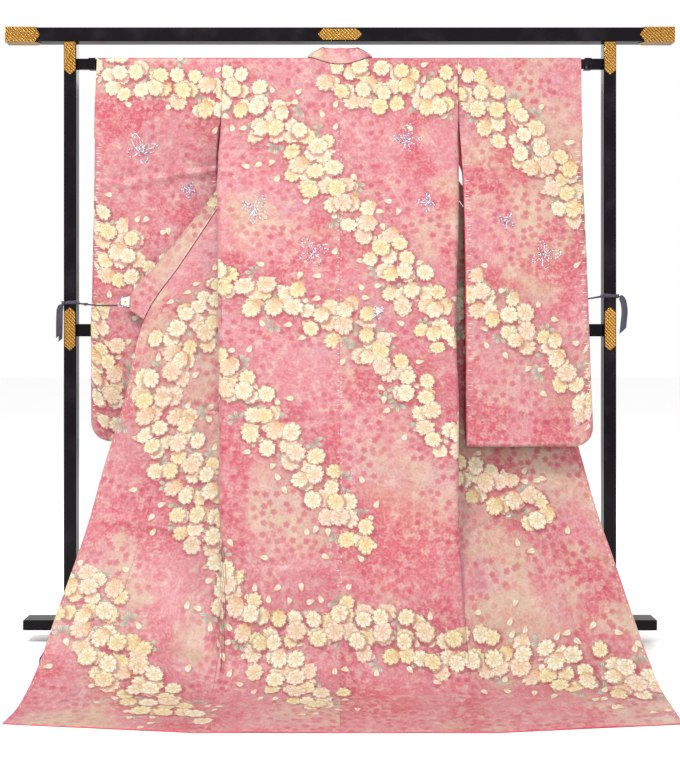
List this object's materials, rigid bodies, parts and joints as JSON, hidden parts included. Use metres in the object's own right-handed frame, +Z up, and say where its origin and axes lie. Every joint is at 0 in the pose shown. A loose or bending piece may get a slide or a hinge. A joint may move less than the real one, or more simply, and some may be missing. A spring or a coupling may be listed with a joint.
{
  "type": "wedding kimono on a kimono stand",
  "caption": "Long lined wedding kimono with hanging sleeves, hung back outward on a lacquered stand, fronts tied open and hem spread on the floor.",
  "frame": {"origin": "on the floor, in the middle of the whole part's length and depth", "axes": "+Z up, +X along the stand's rails to the right of someone facing the garment's back, +Y from the spread hem towards the stand"},
  "size_m": [1.8176, 1.0088, 1.6693],
  "materials": {
    "silk": "patterned satin",
    "lacquer": "gloss black lacquer",
    "brass": "engraved",
    "satin": "satin ribbon",
    "clip": "gloss white"
  },
  "bodies": {
    "root": {"top_rail": "lacquer", "base_rail": "lacquer", "mid_rail": "lacquer", "post_left": "lacquer", "post_right": "lacquer", "foot_left": "lacquer", "foot_right": "lacquer", "sleeve_rod": "lacquer", "rail_cap_left": "brass", "rail_cap_right": "brass", "rail_plate_centre": "brass", "post_plate_top_left": "brass", "post_plate_top_right": "brass", "post_plate_mid_left": "brass", "post_plate_mid_right": "brass", "back_left": "silk", "back_right": "silk", "front_left": "silk", "front_right": "silk", "okumi_left": "silk", "okumi_right": "silk", "collar": "silk", "sleeve_left": "silk", "sleeve_right": "silk", "tie_left": "satin", "tie_right": "satin", "tie_tail_left": "satin", "tie_tail_right": "satin", "clip_left": "clip", "clip_right": "clip"}
  },
  "joints": []
}
